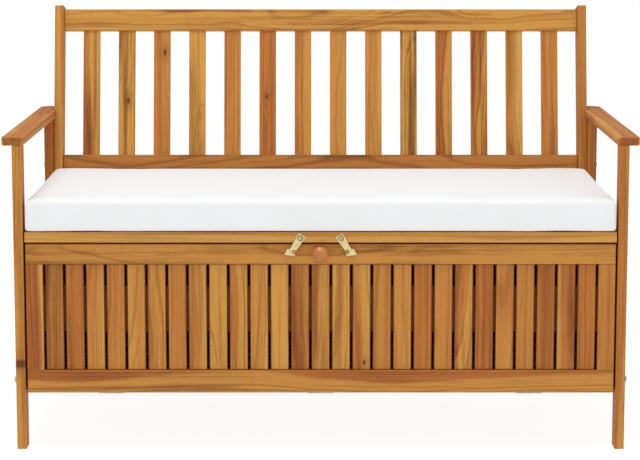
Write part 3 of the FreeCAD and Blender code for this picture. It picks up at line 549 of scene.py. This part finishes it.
def turned_piece(name, profile, centre, steps=64):
    """A solid of revolution about the Y axis. profile is (distance towards the viewer, radius) pairs."""
    mesh = bpy.data.meshes.new(name)
    solid = bmesh.new()
    rings = []
    for out, radius in profile:
        ring = [solid.verts.new(centre + Vector((radius * math.cos(a), -out, radius * math.sin(a))))
                for a in (math.tau * i / steps for i in range(steps))]
        rings.append(ring)
    for near, far in zip(rings, rings[1:]):
        for i in range(steps):
            solid.faces.new((near[i], near[(i + 1) % steps], far[(i + 1) % steps], far[i]))
    solid.faces.new(rings[0])
    solid.faces.new(rings[-1])
    bmesh.ops.recalc_face_normals(solid, faces=solid.faces)
    for face in solid.faces:
        face.smooth = len(face.verts) == 4
    solid.to_mesh(mesh)
    solid.free()
    thing = bpy.data.objects.new(name, mesh)
    scene.collection.objects.link(thing)
    return thing


# The turned outline, as (share of the length from the panel, share of the greatest radius).
KNOB_BASE_AND_NECK = [(0.00, 0.56), (0.06, 0.60), (0.10, 0.58), (0.14, 0.48), (0.22, 0.40), (0.30, 0.42)]
KNOB_BODY = [(0.36, 0.52), (0.42, 0.78), (0.47, 0.92), (0.53, 0.99), (0.60, 1.00), (0.66, 0.98), (0.70, 0.94)]
KNOB_BEAD = [(0.72, 0.90), (0.735, 0.88), (0.76, 0.885), (0.80, 0.86), (0.85, 0.76)]
KNOB_DOME = [(0.875, 0.70), (0.885, 0.66), (0.905, 0.655), (0.93, 0.60), (0.955, 0.48), (0.975, 0.34),
             (0.990, 0.18), (0.998, 0.05)]


def make_knob():
    low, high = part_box("knob")
    centre = Vector(((low.x + high.x) / 2, high.y, (low.z + high.z) / 2))
    long = high.y - low.y
    wide = (high.x - low.x) / 2
    profile = KNOB_BASE_AND_NECK + KNOB_BODY + KNOB_BEAD + KNOB_DOME
    knob = turned_piece("turned_knob", [(long * a, wide * r) for a, r in profile], centre)
    smooth = knob.modifiers.new("Rounder", "SUBSURF")
    smooth.levels = smooth.render_levels = 1
    knob.data.materials.append(knob_material())
    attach(knob, "front_panel")
    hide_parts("knob")


# --- Cushion ------------------------------------------------------------------

THREAD = 0.0011         # from one thread of the cover to the next
COVER_VOXEL = 0.006
START_INSET = 0.004     # the cushion before it is inflated is this much smaller all round
START_EASE = 0.007      # radius of its edges
PRESSURE = 4.0
SWELL_CAP = 0.005       # how far the simulation may move a point
STANDS_PROUD_LOW = Vector((-0.0015, -0.0012, 0.0))    # of the CAD cushion's lowest corner
STANDS_PROUD_HIGH = Vector((0.0015, 0.001, 0.001))    # and of its highest
EDGE_REACH = 0.024      # how far from a face its rounded edges are drawn tighter
EDGE_TIGHTNESS = 0.35   # what is left of the rounding right at the face


def weave_group():
    """Height of a plain weave on a plane: threads going over and under each other."""
    group, t, given, result = new_group("Plain weave", [("U", "Float"), ("V", "Float")], [("Height", "Float")])
    warp = t.math("SINE", t.math("MULTIPLY", given.outputs["U"], math.pi / THREAD))
    weft = t.math("SINE", t.math("MULTIPLY", given.outputs["V"], math.pi / THREAD))
    warp_on_top = t.math("GREATER_THAN", t.math("MULTIPLY", warp, weft), 0.0)
    weft_on_top = t.math("SUBTRACT", 1.0, warp_on_top)
    warp_height = t.math("MULTIPLY", t.math("ABSOLUTE", warp), warp_on_top)
    weft_height = t.math("MULTIPLY", t.math("ABSOLUTE", weft), weft_on_top)
    t.put(t.math("ADD", warp_height, weft_height), result.inputs["Height"])
    return group


def cushion_material():
    """White cloth in a plain weave, laid on from the three axes and blended by the way the surface faces."""
    material, t, shader = new_material("White woven cover")
    where = t.add("ShaderNodeTexCoord").outputs["Object"]
    normal = t.add("ShaderNodeSeparateXYZ", Vector=t.add("ShaderNodeNewGeometry").outputs["Normal"])
    at = t.add("ShaderNodeSeparateXYZ", Vector=where)
    weave = weave_group()
    x, y, z = at.outputs
    facing = [t.math("POWER", t.math("ABSOLUTE", normal.outputs[i]), 6.0) for i in range(3)]
    all_facing = t.math("ADD", facing[0], t.math("ADD", facing[1], facing[2]))
    height = 0.0
    for share, (u, v) in zip(facing, ((y, z), (x, z), (x, y))):
        patch = t.add("ShaderNodeGroup", {"node_tree": weave}, U=u, V=v).outputs[0]
        height = t.math("ADD", height, t.math("MULTIPLY", t.math("DIVIDE", share, all_facing), patch))
    slubs = t.stretched_noise(where, (60.0, 900.0, 900.0))
    soft = t.noise(where, 14.0, 3.0)
    # The weave's height paints shade between the threads, darker in the dips; the slubs add uneven yarn tone.
    shade = t.math("ADD", t.math("MULTIPLY", height, 0.55), t.math("MULTIPLY", slubs, 0.45))
    colour = t.mix(t.step(shade, 0.2, 0.8), srgb(240, 241, 242), srgb(249, 250, 251))
    colour = t.mix(t.step(soft, 0.35, 0.7, 0.0, 0.25), colour, srgb(242, 242, 242))
    t.put(colour, shader.inputs["Base Color"])
    t.put(t.step(slubs, 0.2, 0.8, 0.78, 0.92), shader.inputs["Roughness"])
    level = t.math("ADD", height, t.math("MULTIPLY", slubs, 0.5))
    fine = t.add("ShaderNodeBump", Strength=0.35, Distance=0.0005, Height=level)
    broad = t.add("ShaderNodeBump", Strength=0.25, Distance=0.006, Height=t.noise(where, 9.0, 2.0),
                  Normal=fine.outputs[0])
    t.put(broad.outputs[0], shader.inputs["Normal"])
    shader.inputs["Sheen Weight"].default_value = 0.25
    shader.inputs["Sheen Roughness"].default_value = 0.5
    return material


def rounded_block(name, low, high, ease):
    """A box with rounded edges, as a new object."""
    mesh = bpy.data.meshes.new(name)
    block = bmesh.new()
    bmesh.ops.create_cube(block, size=1.0)
    size, centre = high - low, (low + high) / 2
    for v in block.verts:
        v.co = Vector((v.co.x * size.x, v.co.y * size.y, v.co.z * size.z)) + centre
    bmesh.ops.bevel(block, geom=block.edges[:], offset=ease, segments=5, profile=0.5, affect="EDGES")
    block.to_mesh(mesh)
    block.free()
    thing = bpy.data.objects.new(name, mesh)
    scene.collection.objects.link(thing)
    return thing


def apply_modifiers(thing):
    """Makes the modifiers' result the mesh itself."""
    ready = thing.evaluated_get(bpy.context.evaluated_depsgraph_get())
    baked = bpy.data.meshes.new_from_object(ready)
    thing.modifiers.clear()
    thing.data = baked


def puff(thing, pressure, most, floor, frames=20):
    """Inflates a closed mesh by cloth simulation. No point moves by more than most, or below floor."""
    began = [v.co.copy() for v in thing.data.vertices]
    cloth = thing.modifiers.new("Cloth", "CLOTH")
    cloth.settings.use_pressure = True
    cloth.settings.uniform_pressure_force = pressure
    cloth.settings.effector_weights.gravity = 0
    cloth.settings.quality = 5
    cloth.settings.tension_stiffness = 40
    cloth.settings.compression_stiffness = 40
    cloth.settings.shear_stiffness = 20
    cloth.settings.bending_stiffness = 4
    cloth.point_cache.frame_start, cloth.point_cache.frame_end = 1, frames
    for number in range(1, frames + 1):
        scene.frame_set(number)
    apply_modifiers(thing)
    scene.frame_set(1)
    for v, start in zip(thing.data.vertices, began):
        move = v.co - start
        if move.length > most:
            move *= most / move.length
        v.co = start + move
        v.co.z = max(v.co.z, floor)


def fit_between(thing, low, high):
    """Stretches a mesh so that it fills the box between two corners."""
    least, most = corners_of([v.co for v in thing.data.vertices])
    for v in thing.data.vertices:
        v.co = Vector([low[i] + (v.co[i] - least[i]) * (high[i] - low[i]) / (most[i] - least[i])
                       for i in range(3)])


def tighten(thing, low, high, reach):
    """Sharpens the upright corners and lower edges of a mesh in a box. Its upper edges stay soft."""
    for v in thing.data.vertices:
        for i in range(3):
            below, above = v.co[i] - low[i], high[i] - v.co[i]
            near = min(below, above)
            if near > reach or i == 2 and above < below:
                continue
            share = max(near, 0.0) / reach
            near *= EDGE_TIGHTNESS + (1 - EDGE_TIGHTNESS) * share * share * (3 - 2 * share)
            v.co[i] = low[i] + near if below < above else high[i] - near


def make_cushion():
    low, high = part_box("cushion")
    inset = Vector((START_INSET, START_INSET, START_INSET))
    cushion = rounded_block("seat_cushion_cover", low + inset, high - inset, START_EASE)
    remesh = cushion.modifiers.new("Voxels", "REMESH")
    remesh.mode, remesh.voxel_size, remesh.use_smooth_shade = "VOXEL", COVER_VOXEL, True
    apply_modifiers(cushion)
    puff(cushion, PRESSURE, SWELL_CAP, low.z)
    finer = cushion.modifiers.new("Finer", "SUBSURF")
    finer.levels = finer.render_levels = 1
    apply_modifiers(cushion)
    low, high = low + STANDS_PROUD_LOW, high + STANDS_PROUD_HIGH
    fit_between(cushion, low, high)
    tighten(cushion, low, high, EDGE_REACH)
    for polygon in cushion.data.polygons:
        polygon.use_smooth = True
    cushion.data.materials.append(cushion_material())
    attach(cushion, "seat_cushion")
    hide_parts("cushion")


# --- Stage, lights and camera -------------------------------------------------

FLOOR_RADIUS = 40.0
FLOOR_GLOW = 0.9        # keeps the floor near white under soft light
LENS = 127.2            # mm, for a sensor 36 mm wide
CAMERA_X = -0.0011
CAMERA_DISTANCE = 4.22  # in front of the front legs
CAMERA_HEIGHT = 1.058
CAMERA_DIP = math.radians(8.54)


def make_stage():
    """A wide round floor, plain and pale."""
    mesh = bpy.data.meshes.new("floor")
    ground = bmesh.new()
    bmesh.ops.create_circle(ground, cap_ends=True, segments=96, radius=FLOOR_RADIUS)
    ground.to_mesh(mesh)
    ground.free()
    floor = bpy.data.objects.new("floor", mesh)
    scene.collection.objects.link(floor)
    material, _, shader = new_material("Pale floor")
    shader.inputs["Base Color"].default_value = (0.16, 0.16, 0.16, 1)
    shader.inputs["Emission Color"].default_value = (1, 1, 1, 1)
    shader.inputs["Emission Strength"].default_value = FLOOR_GLOW
    shader.inputs["Roughness"].default_value = 0.9
    shader.inputs["Specular IOR Level"].default_value = 0.1
    mesh.materials.append(material)


def make_sky(strength):
    world = bpy.data.worlds.new("Studio")
    world.use_nodes = True
    background = world.node_tree.nodes["Background"]
    background.inputs["Color"].default_value = (1, 1, 1, 1)
    background.inputs["Strength"].default_value = strength
    scene.world = world


def make_light(name, place, target, wide, high, power):
    """A soft lamp, wide by high metres, of power watts, that faces the target."""
    lamp = bpy.data.lights.new(name, "AREA")
    lamp.shape, lamp.size, lamp.size_y, lamp.energy = "RECTANGLE", wide, high, power
    holder = bpy.data.objects.new(name, lamp)
    holder.location = place
    holder.rotation_euler = (Vector(target) - Vector(place)).to_track_quat("-Z", "Y").to_euler()
    scene.collection.objects.link(holder)


def make_camera():
    camera = bpy.data.cameras.new("camera")
    camera.sensor_width, camera.lens = 36, LENS
    camera.clip_start, camera.clip_end = 0.05, 200
    holder = bpy.data.objects.new("camera", camera)
    holder.location = (CAMERA_X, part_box("front_leg_left")[0].y - CAMERA_DISTANCE, CAMERA_HEIGHT)
    holder.rotation_euler = (math.pi / 2 - CAMERA_DIP, 0, 0)
    scene.collection.objects.link(holder)
    scene.camera = holder


scene.view_settings.view_transform = "Standard"
scene.view_settings.look = "None"
make_camera()
make_stage()
make_sky(0.68)
bench_middle = (0, 0, 0.4)
make_light("key", (-0.7, -0.9, 4.4), bench_middle, 2.6, 2.0, 80)
make_light("fill", (2.2, -3.2, 2.4), bench_middle, 2.0, 2.0, 5)

paint_wood()
paint_metal()
make_knob()
make_cushion()
